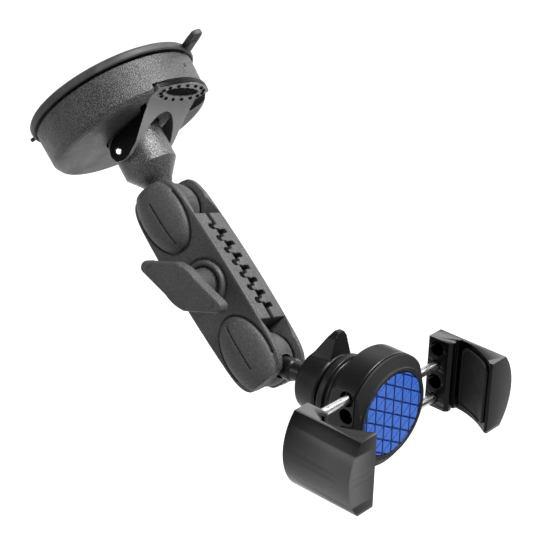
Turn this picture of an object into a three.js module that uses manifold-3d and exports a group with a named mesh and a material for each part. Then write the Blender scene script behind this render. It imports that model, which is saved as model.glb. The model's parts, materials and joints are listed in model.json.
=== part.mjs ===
// Suction-cup phone holder: a cam-lever suction base, a double-socket arm between two
// ball joints, and a phone grip with two curved jaws that slide on steel rods.
// Millimetres, +Z up. The origin is the centre of the suction face. The phone stands
// upright against the round pad, whose face looks along -Y.

import * as THREE from 'three';
import { mergeVertices } from 'three/addons/utils/BufferGeometryUtils.js';
import Module from 'manifold-3d';

const wasm = await Module();
wasm.setup();

// ---------------------------------------------------------------- driving dimensions

const GAP = 0.3;                      // clearance between pieces that touch
const TAU = Math.PI * 2;

// Directions at rest, in the part's frame
const BASE_AXIS = new THREE.Vector3(-0.0756, -0.7248, -0.6848).normalize();
const LEVER_AXIS = new THREE.Vector3(0.3732, -0.6575, 0.6549);
const ARM_AXIS = new THREE.Vector3(-0.0944, -0.8010, -0.5912).normalize();
const BOLT_AXIS = new THREE.Vector3(-0.9397, -0.1244, 0.3186);
const HUB_AXIS = new THREE.Vector3(0, -1, 0);

// Ball joints
const BALL_R = 12.5;                  // rubber-coated 25 mm ball
const CORE_R = 10.2;                  // hard core inside the rubber
const SMALL_BALL_R = 8.5;             // 17 mm ball in the holder
const BASE_BALL_HEIGHT = 66.7;        // suction face to the upper ball
const ARM_PITCH = 86;                 // between the two 25 mm balls
const ADAPTER_LENGTH = 33.9;          // between the adapter's two balls
const ADAPTER_RISE = 2.8;             // how far the small ball sits above the large one
const HUB_BALL_DEPTH = 27.5;          // small ball behind the hub's centre plane

// Suction base
const CUP_R = 42.5;
const HOUSING_R = 41.3;
const HOUSING_TOP = 24.3;
const POST_R = 13.3;
const PIN_X = -2;
const PIN_HEIGHT = 33;

// Arm
const ARM_HALF_WIDTH = 15.8;
const ARM_FACE = 11.5;                // flat face above the split plane
const DOME_FACE = 16.6;               // crown over each ball
const ARM_END = 10.5;                 // shell past the ball's centre
const ARM_SPLIT = 1.4;                // half the gap between the shells
const COMB_COUNT = 7;
const COMB_PITCH = 7;
const COMB_SHIFT = -1;                // comb's middle from the arm's middle

// Holder
const HUB_R = 26.4;
const HUB_FLAT = 21.4;
const HUB_FRONT = 8.8;
const POCKET = 12;                    // half width of the pocket the rod clips run in
const CLIP_R = 3.1;
const CLIP_LENGTH = 0.9;
const BUSH_LENGTH = 2.4;
const MOUTH_R = 3.5;                  // wide mouth of each rod bore
const MOUTH_DEPTH = 5;
const PAD_R = 19.2;
const ROD_R = 2.0;
const ROD_PITCH = 8.4;
const ROD_DEPTH = 4.6;                // rods ahead of the jaws' back plane
const JAW_INNER = 41.1;
const JAW_HALF_HEIGHT = 17.6;
const JAW_DEPTH = 35.8;

// ---------------------------------------------------------------- solids and placing

const FINISH = {
  rubber: [0x1d1d1e, 0.75, 0],
  grainPlastic: [0x2a2a2b, 0.6, 0],
  leverPlastic: [0x58585a, 0.45, 0],
  castGrey: [0x6a6a6c, 0.5, 0.4],
  armPlastic: [0x3a3a3b, 0.65, 0],
  steel: [0xb8b8ba, 0.3, 1],
  blackPlastic: [0x161617, 0.4, 0],
  blackMetal: [0x111112, 0.3, 0.6],
  bluePad: [0x2f6bd8, 0.55, 0],
  brass: [0xb59a54, 0.35, 1],
};

function material(name) {
  const [color, roughness, metalness] = FINISH[name];
  return new THREE.MeshStandardMaterial({ color, roughness, metalness });
}

function solid(geometry) {
  const bare = geometry.clone();
  bare.deleteAttribute('normal');
  bare.deleteAttribute('uv');
  const merged = mergeVertices(bare, 1e-4);
  const mesh = new wasm.Mesh({
    numProp: 3,
    vertProperties: new Float32Array(merged.attributes.position.array),
    triVerts: new Uint32Array(merged.index.array),
  });
  return new wasm.Manifold(mesh);
}

function geometryOf(body) {
  const mesh = body.getMesh();
  const geometry = new THREE.BufferGeometry();
  geometry.setAttribute('position', new THREE.BufferAttribute(new Float32Array(mesh.vertProperties), 3));
  geometry.setIndex(new THREE.BufferAttribute(new Uint32Array(mesh.triVerts), 1));
  geometry.computeVertexNormals();
  return geometry;
}

// A turned piece about local Z from [radius, height] points.
function turned(points, segments = 28) {
  const profile = points.map(([r, z]) => new THREE.Vector2(r, z));
  const geometry = new THREE.LatheGeometry(profile, segments);
  geometry.rotateX(Math.PI / 2);
  return solid(geometry);
}

// A turned ring closes its profile on itself.
function turnedRing(points, segments = 28) {
  return turned([...points, points[0]], segments);
}

function ball(radius, segments = 22) {
  return solid(new THREE.SphereGeometry(radius, segments, segments / 2).rotateX(Math.PI / 2));
}

// A cylinder from one point to another.
function rod(from, to, radius, segments = 20, endRadius = radius) {
  const start = new THREE.Vector3(...from);
  const span = new THREE.Vector3(...to).sub(start);
  const geometry = new THREE.CylinderGeometry(endRadius, radius, span.length(), segments);
  geometry.translate(0, span.length() / 2, 0);
  const turn = new THREE.Quaternion().setFromUnitVectors(new THREE.Vector3(0, 1, 0), span.normalize());
  geometry.applyQuaternion(turn);
  geometry.translate(start.x, start.y, start.z);
  return solid(geometry);
}

function box(low, high) {
  const size = high.map((value, i) => value - low[i]);
  const geometry = new THREE.BoxGeometry(...size);
  geometry.translate(...low.map((value, i) => value + size[i] / 2));
  return solid(geometry);
}

// A flat outline in local XY, extruded from z = low to z = high.
function slab(shape, low, high, curveSegments = 10) {
  const geometry = new THREE.ExtrudeGeometry(shape, { depth: high - low, bevelEnabled: false, curveSegments });
  geometry.translate(0, 0, low);
  return solid(geometry);
}

// A profile in local XZ, extruded across Y.
function sideSlab(shape, low, high, curveSegments = 10) {
  const geometry = new THREE.ExtrudeGeometry(shape, { depth: high - low, bevelEnabled: false, curveSegments });
  geometry.rotateX(Math.PI / 2);
  geometry.translate(0, high, 0);
  return solid(geometry);
}

function polygon(points) {
  return new THREE.Shape(points.map(([x, y]) => new THREE.Vector2(x, y)));
}

function join(...bodies) {
  return bodies.reduce((sum, body) => sum.add(body));
}

function cut(body, ...tools) {
  return tools.reduce((rest, tool) => rest.subtract(tool), body);
}

// A group whose local Z lies along `axis` and whose local X is as near to `across` as it can be.
function localFrame(origin, axis, across) {
  const z = axis.clone().normalize();
  const x = across.clone().addScaledVector(z, -across.dot(z)).normalize();
  const y = new THREE.Vector3().crossVectors(z, x);
  const group = new THREE.Group();
  group.quaternion.setFromRotationMatrix(new THREE.Matrix4().makeBasis(x, y, z));
  group.position.copy(origin);
  return group;
}

function add(group, name, body, finish) {
  const mesh = new THREE.Mesh(geometryOf(body), material(finish));
  mesh.name = name;
  group.add(mesh);
}

// ---------------------------------------------------------------- suction base

// Rubber disc with a thickened lip and a pull tab.
function membrane() {
  const disc = turned([
    [0, 0], [CUP_R, 0], [CUP_R + 0.7, 0.8], [CUP_R + 0.6, 3.4], [CUP_R - 0.6, 4.2],
    [HOUSING_R - 3.4, 4.2], [HOUSING_R - 4, 2.4], [0, 2.4],
  ], 48);
  const tabRoot = THREE.MathUtils.degToRad(-15.7);
  const tabTurn = THREE.MathUtils.degToRad(31.6);
  const outline = new THREE.Shape();
  outline.moveTo(-3, -3.4);
  outline.lineTo(14, -2.8);
  outline.absarc(14.6, 0, 2.8, -Math.PI / 2, Math.PI / 2);
  outline.lineTo(-3, 3.4);
  const geometry = new THREE.ExtrudeGeometry(outline, { depth: 2.6, bevelEnabled: false, curveSegments: 8 });
  geometry.rotateZ(tabTurn);
  geometry.translate((CUP_R - 1) * Math.cos(tabRoot), (CUP_R - 1) * Math.sin(tabRoot), 0.9);
  return join(disc, solid(geometry));
}

// Hard cup over the membrane, with a notch for the lever's thumb pad.
function housing() {
  const shell = turnedRing([
    [HOUSING_R - 2.6, 4.5], [HOUSING_R, 4.5], [HOUSING_R - 0.7, 21.4], [HOUSING_R - 2.3, HOUSING_TOP - 0.8],
    [HOUSING_R - 4.4, HOUSING_TOP], [POST_R + 0.6, HOUSING_TOP], [POST_R + 0.6, HOUSING_TOP - 5],
    [POST_R + 3, HOUSING_TOP - 5], [POST_R + 3, HOUSING_TOP - 2.8], [HOUSING_R - 5.4, HOUSING_TOP - 2.8],
    [HOUSING_R - 3.2, 19.8],
  ], 48);
  const notch = slab(polygon([[19.2, -21.6], [45, -25], [45, 25], [19.2, 21.6]]), HOUSING_TOP - 5.5, 40);
  const recessFloor = slab(
    polygon([[18, -23.4], [HOUSING_R - 1, -23.4], [HOUSING_R - 1, 23.4], [18, 23.4]]),
    HOUSING_TOP - 7.5, HOUSING_TOP - 5.5,
  );
  const recessWall = slab(polygon([[17.2, -23.4], [19, -23.4], [19, 23.4], [17.2, 23.4]]),
    HOUSING_TOP - 7.5, HOUSING_TOP - 1);
  const inside = turned([[0, 0], [HOUSING_R - 1.2, 0], [HOUSING_R - 1.2, 40], [0, 40]], 48);
  const recess = join(recessFloor, recessWall).intersect(inside);
  return join(cut(shell, notch), recess);
}

// Post with the upper ball's core. The lever's pin crosses it.
function ballPost() {
  const post = turned([
    [0, 9], [POST_R, 9], [POST_R, 43.6], [POST_R - 1, 45], [6.6, 52.6], [5.3, 55], [5, 57],
    [4.8, BASE_BALL_HEIGHT - 8], [0, BASE_BALL_HEIGHT - 8],
  ], 32);
  const core = ball(CORE_R).translate([0, 0, BASE_BALL_HEIGHT]);
  const bore = rod([PIN_X, -20, PIN_HEIGHT], [PIN_X, 20, PIN_HEIGHT], 2.1, 16);
  return cut(join(post, core), bore);
}

function plunger() {
  return turned([[0, 6], [11, 6], [11, 7], [9, 8.7], [0, 8.7]], 32);
}

function plungerSpring() {
  const rings = [];
  for (let i = 0; i < 2; i += 1) {
    const z = 9.2 + i * 4;
    rings.push([POST_R + 0.5, z], [POST_R + 2.2, z], [POST_R + 2.2, z + 1.6], [POST_R + 1.6, z + 1.6]);
    rings.push([POST_R + 1.6, z + 4]);
  }
  rings.push([POST_R + 0.5, 17.2]);
  return turnedRing(rings, 20);
}

// Forked cam lever. Its thumb pad closes the notch in the housing.
function lever() {
  const side = polygon([
    [43, 19.6], [42.6, 21.6], [41, 22.6], [28, 22.3], [19.8, 26.9], [9, 34.2], [2, 37.6],
    [PIN_X, 38.2], [-5.8, 36.8], [-7.2, 33], [-6.2, 29.8], [-3.6, 27.4], [-1, 25.9], [3, 25.6],
    [12, 25.3], [19.4, 25], [20.2, 24.2], [20.2, 19.6],
  ]);
  const blank = sideSlab(side, -26, 26);
  const plan = polygon([
    [-9, -17.2], [9, -17.2], [24, -19.6], [45, -24.4], [45, 24.4], [24, 19.6], [9, 17.2], [-9, 17.2],
  ]);
  const rim = turned([[0, 0], [HOUSING_R + 0.6, 0], [HOUSING_R + 0.6, 60], [0, 60]], 48);
  const arch = new THREE.Shape();
  arch.moveTo(-20, -14.1);
  arch.lineTo(6, -14.1);
  arch.bezierCurveTo(13, -13.2, 21.5, -8, 21.5, 0);
  arch.bezierCurveTo(21.5, 8, 13, 13.2, 6, 14.1);
  arch.lineTo(-20, 14.1);
  const hole = rod([PIN_X, -30, PIN_HEIGHT], [PIN_X, 30, PIN_HEIGHT], 1.9, 16);
  const body = blank.intersect(slab(plan, 0, 60)).intersect(rim);
  return cut(body, slab(arch, 0, 60, 8), hole);
}

function leverPin() {
  return rod([PIN_X, -17.4, PIN_HEIGHT], [PIN_X, 17.4, PIN_HEIGHT], 1.6, 16);
}

// ---------------------------------------------------------------- ball joints and arm

// Rubber skin of a 25 mm ball, open where the neck leaves along -Z.
function ballJacket() {
  const neckHole = rod([0, 0, 0], [0, 0, -20], 5.9, 20);
  return cut(ball(BALL_R), ball(CORE_R + 0.4), neckHole);
}

// Plan of one arm shell: blunt round ends and a slightly fuller waist.
function armPlan() {
  const shape = new THREE.Shape();
  const end = -ARM_END;
  const far = ARM_PITCH + ARM_END;
  const waist = ARM_PITCH / 2;
  const tip = 10;
  shape.moveTo(end, -tip);
  shape.bezierCurveTo(end + 3, -14.4, 2, -14.6, 10, -15);
  shape.bezierCurveTo(25, -ARM_HALF_WIDTH, waist, -ARM_HALF_WIDTH, waist, -ARM_HALF_WIDTH);
  shape.bezierCurveTo(waist, -ARM_HALF_WIDTH, far - 35, -ARM_HALF_WIDTH, far - 20, -15);
  shape.bezierCurveTo(far - 12, -14.6, far - 3, -14.4, far, -tip);
  shape.bezierCurveTo(far + 2, -4, far + 2, 4, far, tip);
  shape.bezierCurveTo(far - 3, 14.4, far - 12, 14.6, far - 20, 15);
  shape.bezierCurveTo(far - 35, ARM_HALF_WIDTH, waist, ARM_HALF_WIDTH, waist, ARM_HALF_WIDTH);
  shape.bezierCurveTo(waist, ARM_HALF_WIDTH, 25, ARM_HALF_WIDTH, 10, 15);
  shape.bezierCurveTo(2, 14.6, end + 3, 14.4, end, tip);
  shape.bezierCurveTo(end - 2, 4, end - 2, -4, end, -tip);
  return shape;
}

// The crown over one ball: a rounded bar whose section is an arc across the arm.
function dome(x, direction) {
  const section = new THREE.Shape();
  section.moveTo(-11.5, 2);
  section.lineTo(-11.5, ARM_FACE - 1.2);
  section.bezierCurveTo(-8, DOME_FACE + 0.2, -3, DOME_FACE, 0, DOME_FACE);
  section.bezierCurveTo(3, DOME_FACE, 8, DOME_FACE + 0.2, 11.5, ARM_FACE - 1.2);
  section.lineTo(11.5, 2);
  const length = ARM_END + 24;
  const geometry = new THREE.ExtrudeGeometry(section, { depth: length, bevelEnabled: false, curveSegments: 5 });
  geometry.rotateX(Math.PI / 2);
  geometry.rotateZ(Math.PI / 2);
  const bar = solid(geometry).translate([direction > 0 ? x - ARM_END : x + ARM_END - length, 0, 0]);
  const plan = new THREE.Shape();
  plan.absellipse(x + direction * 4, 0, 19, 11.4, 0, TAU);
  const outer = slab(plan, 0, 30, 7);
  const ramp = rod([x + direction * 4, 0, 0], [x + direction * 4, 0, 30], 23, 28, 7);
  return bar.intersect(outer).intersect(ramp);
}

// Room for the neck to swing between the shells: a wedge that opens away from the ball.
function neckSwing(x) {
  const wedge = turned([[0, -5.4], [12, -7.3], [30, -14.6], [30, 14.6], [12, 7.3], [0, 5.4]], 28);
  return wedge.translate([x, 0, 0]);
}

function combPositions() {
  const first = ARM_PITCH / 2 + COMB_SHIFT - ((COMB_COUNT - 1) * COMB_PITCH) / 2;
  return Array.from({ length: COMB_COUNT }, (_, i) => first + i * COMB_PITCH);
}

function armShell() {
  const blank = slab(armPlan(), ARM_SPLIT, ARM_FACE, 4);
  const middle = ARM_PITCH / 2;
  const bolt = rod([middle, 0, -1], [middle, 0, 30], 3.4, 14);
  const springWell = rod([middle, 0, -1], [middle, 0, 7], 7, 18);
  const swings = [0, ARM_PITCH].map((x) => {
    const reach = x === 0 ? box([-30, -30, -30], [13, 30, 30]) : box([ARM_PITCH - 13, -30, -30], [ARM_PITCH + 30, 30, 30]);
    return neckSwing(x).intersect(reach);
  });
  const sockets = [0, ARM_PITCH].map((x) => ball(BALL_R + 0.45).translate([x, 0, 0]));
  const lightening = [23, ARM_PITCH - 23].map((x) => box([x - 5, -9, -1], [x + 5, 9, ARM_FACE - 3]));
  return cut(join(blank, dome(0, 1), dome(ARM_PITCH, -1)), bolt, springWell, ...sockets, ...swings, ...lightening);
}

// Front shell: a ring round the knob's seat, and notches that take the rear shell's teeth.
function armFrontShell() {
  const middle = ARM_PITCH / 2;
  const seat = turnedRing([[8.2, 4], [11, 4], [11, ARM_FACE + 0.6], [10.4, ARM_FACE + 1.4], [8.8, ARM_FACE + 1.4],
    [8.2, ARM_FACE + 0.6]], 32).translate([middle, 0, 0]);
  const notches = combPositions().map((x) => box([x - 1.6, 10.4, 0], [x + 1.6, 20, 5.6]));
  return cut(join(armShell(), seat), ...notches);
}

function armRearShell() {
  const middle = ARM_PITCH / 2;
  const teeth = combPositions().map((x) => box([x - 1, 10.9, 1], [x + 1, 14.8, 4.4]));
  const slots = combPositions().map((x) => box([x + 1.8, 11.4, 0], [x + 4.2, 20, 5.4]));
  const hexWell = rod([middle, 0, ARM_FACE - 4.6], [middle, 0, ARM_FACE + 1], 6.3, 6);
  const mirrored = cut(armShell(), hexWell, ...slots).mirror([0, 0, 1]);
  return join(mirrored, ...teeth.map((tooth) => tooth.translate([0, 0, -3])));
}

// Hexagon-head bolt from the rear shell up into the knob.
function clampBolt() {
  const middle = ARM_PITCH / 2;
  const head = rod([middle, 0, -ARM_FACE + 0.3], [middle, 0, -ARM_FACE + 4.3], 5.8, 6);
  const shank = rod([middle, 0, -ARM_FACE + 2], [middle, 0, ARM_FACE + 16], 2.9, 14);
  return join(head, shank);
}

function armSpring() {
  return turnedRing([[4.2, -6.6], [6.3, -6.6], [6.3, -3.4], [5.7, -2.8], [6.3, -2.2], [6.3, 2.2], [5.7, 2.8],
    [6.3, 3.4], [6.3, 6.6], [4.2, 6.6]], 16).translate([ARM_PITCH / 2, 0, 0]);
}

function knobWasher() {
  return turnedRing([[3.4, ARM_FACE + 0.3], [7.8, ARM_FACE + 0.3], [7.8, ARM_FACE + 1.3], [3.4, ARM_FACE + 1.3]], 24)
    .translate([ARM_PITCH / 2, 0, 0]);
}

// Lozenge paddle on a round stem, parallel to the arm's face.
function wingKnob() {
  const outline = new THREE.Shape();
  const long = 24;
  outline.moveTo(-long + 1, -2.4);
  outline.bezierCurveTo(-long - 1.2, 0.6, -long + 0.6, 3.4, -long + 3.6, 3.6);
  outline.lineTo(-6, 9.4);
  outline.bezierCurveTo(-1, 9.6, 3, 8.4, 6, 7);
  outline.lineTo(long - 1, 2.4);
  outline.bezierCurveTo(long + 1.2, -0.6, long - 0.6, -3.4, long - 3.6, -3.6);
  outline.lineTo(6, -9.4);
  outline.bezierCurveTo(1, -9.6, -3, -8.4, -6, -7);
  outline.lineTo(-long + 1, -2.4);
  const base = ARM_FACE + 1.6;
  const paddle = slab(outline, base + 11.4, base + 18.4, 6).rotate([0, 0, 30]);
  const stem = turned([[0, base], [7.6, base], [7.2, base + 4], [6.4, base + 12], [0, base + 12]], 28);
  const socket = rod([0, 0, base - 1], [0, 0, base + 15.4], 4.9, 24);
  return cut(join(paddle, stem), socket).translate([ARM_PITCH / 2, 0, 0]);
}

function knobInsert() {
  const base = ARM_FACE + 1.7;
  return turnedRing([[3.2, base], [4.6, base], [4.6, base + 14], [3.2, base + 14]], 14)
    .translate([ARM_PITCH / 2, 0, 0]);
}

// Double-ended adapter: 25 mm ball core at the origin, 17 mm ball up local Z.
function adapter() {
  const neck = turned([
    [0, 6], [4.9, 8], [4.9, 13.4], [5.3, 14], [5.3, 17.4], [4.7, 18.4], [4.0, ADAPTER_LENGTH - 8.2],
    [3.9, ADAPTER_LENGTH - 6.6], [0, ADAPTER_LENGTH - 6.6],
  ], 24);
  const small = ball(SMALL_BALL_R, 20).translate([0, 0, ADAPTER_LENGTH]);
  return join(neck, ball(CORE_R), small);
}

// ---------------------------------------------------------------- phone holder

// Split ring that grips the small ball inside the ring nut.
function socketCollet() {
  const low = -HUB_BALL_DEPTH - 3.6;
  const high = -HUB_BALL_DEPTH + 5.2;
  const tube = turned([[0, low], [10.2, low], [11.6, low + 1.6], [11.6, high], [0, high]], 24);
  return cut(tube, ball(SMALL_BALL_R + 0.45, 20).translate([0, 0, -HUB_BALL_DEPTH]));
}

// Ring nut with two finger wings.
function ringNut() {
  const back = -32.4;
  const front = -18.6;
  const ring = turnedRing([
    [7.6, back], [12.6, back], [14.2, back + 1.6], [15.4, front - 1], [15, front], [12.7, front],
    [12.7, -22], [12.1, -22.4], [12.1, back + 2.6], [10.4, back + 0.9], [8.2, back + 0.9],
  ], 32);
  const fin = polygon([[-7, 13], [-3.4, 22.6], [-1, 25.4], [2.6, 25.6], [4.4, 23.6], [7.5, 13]]);
  const blade = sideSlab(polygon([[13, back + 2.4], [25.6, back + 8.4], [25.6, back + 11], [13, front - 0.6]]), -9, 9);
  const wings = [80, 260].map((angle) => {
    const radial = slab(fin, back, front).rotate([0, 0, -90]);
    return radial.intersect(blade).rotate([0, 0, angle]);
  });
  return join(ring, ...wings);
}

function rodHeights() {
  return [1.5, 0.5, -0.5, -1.5].map((step) => step * ROD_PITCH);
}

// Round hub with two flats, the rods' guide bores, a pocket for the rod clips and a threaded spigot.
function hubHousing() {
  const body = turned([
    [0, -18.4], [9.4, -18.4], [9.4, -21.8], [12.2, -21.8], [12.2, -16.2], [16.6, -16.2], [17.2, -15.6],
    [17.2, -12.8], [15.8, -12], [15.8, -10.4], [18, -9.4], [21.6, -5.2], [25.6, -3.8], [HUB_R, -2.8],
    [HUB_R, HUB_FRONT - 0.6], [HUB_R - 0.6, HUB_FRONT], [0, HUB_FRONT],
  ], 40);
  const between = box([-HUB_FLAT, -30, -40], [HUB_FLAT, 30, 20]);
  const pocket = box([-POCKET, -16.6, 0.6], [POCKET, 16.6, HUB_FRONT + 1]);
  const bores = rodHeights().map((y) => {
    const guide = rod([-30, y, ROD_DEPTH], [30, y, ROD_DEPTH], ROD_R + 0.35, 12);
    const left = rod([-30, y, ROD_DEPTH], [-HUB_FLAT + MOUTH_DEPTH, y, ROD_DEPTH], MOUTH_R, 16);
    const right = rod([HUB_FLAT - MOUTH_DEPTH, y, ROD_DEPTH], [30, y, ROD_DEPTH], MOUTH_R, 16);
    return join(guide, left, right);
  });
  const screwHoles = screwPlaces().map(([x, y]) => rod([x, y, 0], [x, y, 12], 1.2, 8));
  return cut(body.intersect(between), pocket, ...bores, ...screwHoles);
}

function screwPlaces() {
  return [0, 180].map((angle) => {
    const turn = THREE.MathUtils.degToRad(angle + 90);
    return [19.6 * Math.cos(turn), 19.6 * Math.sin(turn)];
  });
}

// Sloping front ring that closes the pocket and holds the pad.
function hubBezel() {
  const ring = turned([
    [0, HUB_FRONT + GAP], [HUB_R - 0.2, HUB_FRONT + GAP], [HUB_R, HUB_FRONT + 0.6], [HUB_R - 0.4, 10.3],
    [PAD_R + 1.9, 13.1], [PAD_R + 1.5, 13.6], [PAD_R + 0.7, 13.6], [PAD_R + 0.4, 13.2],
    [PAD_R + 0.4, 11.6], [0, 11.6],
  ], 40);
  const between = box([-HUB_FLAT, -30, 0], [HUB_FLAT, 30, 20]);
  return ring.intersect(between);
}

function hubPad() {
  return turned([[0, 11.9], [PAD_R, 11.9], [PAD_R, 13], [PAD_R - 0.4, 13.4], [0, 13.4]], 40);
}

// A rod runs from its jaw through the hub and ends in the far guide bore.
function jawRod(side, y) {
  return rod([side * (JAW_INNER + 7), y, ROD_DEPTH], [side * -(POCKET + 0.3), y, ROD_DEPTH], ROD_R, 12);
}

function sleeve(side, y, inner, outer, near, length) {
  const start = side > 0 ? near : -near - length;
  return turnedRing([[inner, 0], [outer, 0], [outer, length], [inner, length]], 12)
    .rotate([0, 90, 0]).translate([start, y, ROD_DEPTH]);
}

// Clip on the rod that keeps it from leaving the hub.
function rodClip(side, y) {
  return sleeve(side, y, ROD_R + 0.2, CLIP_R, POCKET - CLIP_LENGTH - 2.2, CLIP_LENGTH);
}

// Friction bush at the bottom of the bore's mouth.
function rodBush(side, y) {
  return sleeve(side, y, ROD_R + GAP, MOUTH_R - GAP, HUB_FLAT - MOUTH_DEPTH + GAP, BUSH_LENGTH);
}

// Curved jaw: a rod block at the back, a concave grip face and a hooked tip.
function jaw(side) {
  const plan = new THREE.Shape();
  plan.moveTo(JAW_INNER, 0);
  plan.lineTo(60, 0);
  plan.lineTo(60, JAW_DEPTH);
  plan.lineTo(39.7, JAW_DEPTH);
  plan.lineTo(39.5, 34.4);
  plan.bezierCurveTo(43.6, 28.4, 47.2, 22.4, 48.2, 12.8);
  plan.lineTo(46.4, 12.2);
  plan.lineTo(42.6, 12.4);
  plan.lineTo(JAW_INNER, 10.9);
  const blank = sideSlab(plan, -JAW_HALF_HEIGHT, JAW_HALF_HEIGHT, 8);
  const barrel = rod([28.9, 0, -1], [28.9, 0, JAW_DEPTH + 1], 27.1, 72);
  const holes = rodHeights().map((y, i) => {
    const holdsRod = (i % 2 === 0) === (side < 0);
    const radius = holdsRod ? ROD_R + GAP : 3.4;
    return rod([JAW_INNER - 1, y, ROD_DEPTH], [JAW_INNER + 8, y, ROD_DEPTH], radius, 14);
  });
  const body = cut(blank.intersect(barrel), ...holes);
  return side > 0 ? body : body.mirror([1, 0, 0]);
}

// Thin rubber pad that follows the grip face.
function jawPad(side) {
  const plan = new THREE.Shape();
  plan.moveTo(47.6, 14.6);
  plan.bezierCurveTo(46.4, 22, 43.2, 28, 39.9, 32.6);
  plan.lineTo(38.9, 32);
  plan.bezierCurveTo(42.2, 27.4, 45.2, 21.6, 46.4, 14.4);
  const height = JAW_HALF_HEIGHT - 2.4;
  const body = sideSlab(plan, -height, height, 8);
  return side > 0 ? body : body.mirror([1, 0, 0]);
}

function bezelScrew(x, y) {
  return rod([x, y, 2], [x, y, HUB_FRONT], 0.9, 8);
}

// ---------------------------------------------------------------- assembly

const holder = new THREE.Group();
const upperBall = BASE_AXIS.clone().multiplyScalar(BASE_BALL_HEIGHT);
const lowerBall = upperBall.clone().addScaledVector(ARM_AXIS, ARM_PITCH);
const adapterRun = Math.sqrt(ADAPTER_LENGTH ** 2 - ADAPTER_RISE ** 2);
const adapterAxis = new THREE.Vector3(0, -adapterRun, ADAPTER_RISE).normalize();
const smallBall = lowerBall.clone().addScaledVector(adapterAxis, ADAPTER_LENGTH);
const hubCentre = smallBall.clone().addScaledVector(HUB_AXIS, HUB_BALL_DEPTH);
const sideways = new THREE.Vector3(1, 0, 0);

const base = localFrame(new THREE.Vector3(), BASE_AXIS, LEVER_AXIS);
add(base, 'suction_membrane', membrane(), 'rubber');
add(base, 'cup_housing', housing(), 'grainPlastic');
add(base, 'membrane_plunger', plunger(), 'blackPlastic');
add(base, 'plunger_spring', plungerSpring(), 'steel');
add(base, 'ball_post', ballPost(), 'castGrey');
add(base, 'cam_lever', lever(), 'leverPlastic');
add(base, 'lever_pin', leverPin(), 'steel');
holder.add(base);

const upperJoint = localFrame(upperBall, BASE_AXIS, LEVER_AXIS);
add(upperJoint, 'base_ball_jacket', ballJacket(), 'rubber');
holder.add(upperJoint);

const arm = localFrame(upperBall, BOLT_AXIS, ARM_AXIS);
add(arm, 'arm_front_shell', armFrontShell(), 'armPlastic');
add(arm, 'arm_rear_shell', armRearShell(), 'armPlastic');
add(arm, 'clamp_bolt', clampBolt(), 'steel');
add(arm, 'arm_spring', armSpring(), 'steel');
add(arm, 'knob_washer', knobWasher(), 'steel');
add(arm, 'knob_insert', knobInsert(), 'brass');
add(arm, 'wing_knob', wingKnob(), 'armPlastic');
holder.add(arm);

const lowerJoint = localFrame(lowerBall, adapterAxis, sideways);
add(lowerJoint, 'ball_adapter', adapter(), 'blackPlastic');
holder.add(lowerJoint);

const lowerJacket = localFrame(lowerBall, adapterAxis.clone().negate(), sideways);
add(lowerJacket, 'adapter_ball_jacket', ballJacket(), 'rubber');
holder.add(lowerJacket);

const hub = localFrame(hubCentre, HUB_AXIS, sideways);
add(hub, 'socket_collet', socketCollet(), 'blackPlastic');
add(hub, 'ring_nut', ringNut(), 'blackPlastic');
add(hub, 'hub_housing', hubHousing(), 'blackPlastic');
add(hub, 'hub_bezel', hubBezel(), 'blackPlastic');
add(hub, 'hub_pad', hubPad(), 'bluePad');
screwPlaces().forEach(([x, y], i) => add(hub, `bezel_screw_${i + 1}`, bezelScrew(x, y), 'steel'));
for (const [label, side] of [['left', -1], ['right', 1]]) {
  add(hub, `${label}_jaw`, jaw(side), 'blackMetal');
  add(hub, `${label}_jaw_pad`, jawPad(side), 'rubber');
  const heights = rodHeights().filter((_, i) => (i % 2 === 0) === (side < 0));
  heights.forEach((y, i) => {
    const place = i === 0 ? 'upper' : 'lower';
    add(hub, `${label}_rod_${place}`, jawRod(side, y), 'steel');
    add(hub, `${label}_rod_clip_${place}`, rodClip(side, y), 'steel');
    add(hub, `${label}_rod_bush_${place}`, rodBush(side, y), 'blackPlastic');
  });
}
holder.add(hub);

export default holder;
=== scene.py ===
"""The looks of a suction-cup phone holder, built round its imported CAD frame.

Pieces are made in millimetres in their own local frames, the same ones that the CAD source
uses: z along the suction cup, the arm's bolt, the adapter or the hub. `finish_piece` moves
them into the row frame in metres.
"""

import json
import math

import bmesh
import bpy
from mathutils import Matrix, Vector


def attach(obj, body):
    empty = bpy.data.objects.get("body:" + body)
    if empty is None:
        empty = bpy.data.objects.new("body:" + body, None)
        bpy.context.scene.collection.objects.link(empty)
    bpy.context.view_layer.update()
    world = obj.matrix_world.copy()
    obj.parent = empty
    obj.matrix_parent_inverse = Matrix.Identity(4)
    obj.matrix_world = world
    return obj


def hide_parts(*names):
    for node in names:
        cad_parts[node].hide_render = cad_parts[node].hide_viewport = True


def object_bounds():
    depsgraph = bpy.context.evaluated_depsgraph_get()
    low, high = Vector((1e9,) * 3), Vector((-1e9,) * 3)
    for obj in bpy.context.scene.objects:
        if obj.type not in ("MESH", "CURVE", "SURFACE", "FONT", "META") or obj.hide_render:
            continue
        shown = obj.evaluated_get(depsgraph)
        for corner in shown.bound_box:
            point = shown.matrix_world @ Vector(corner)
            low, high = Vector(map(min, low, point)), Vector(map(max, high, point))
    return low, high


MM = 0.001
TAU = 2 * math.pi

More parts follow.
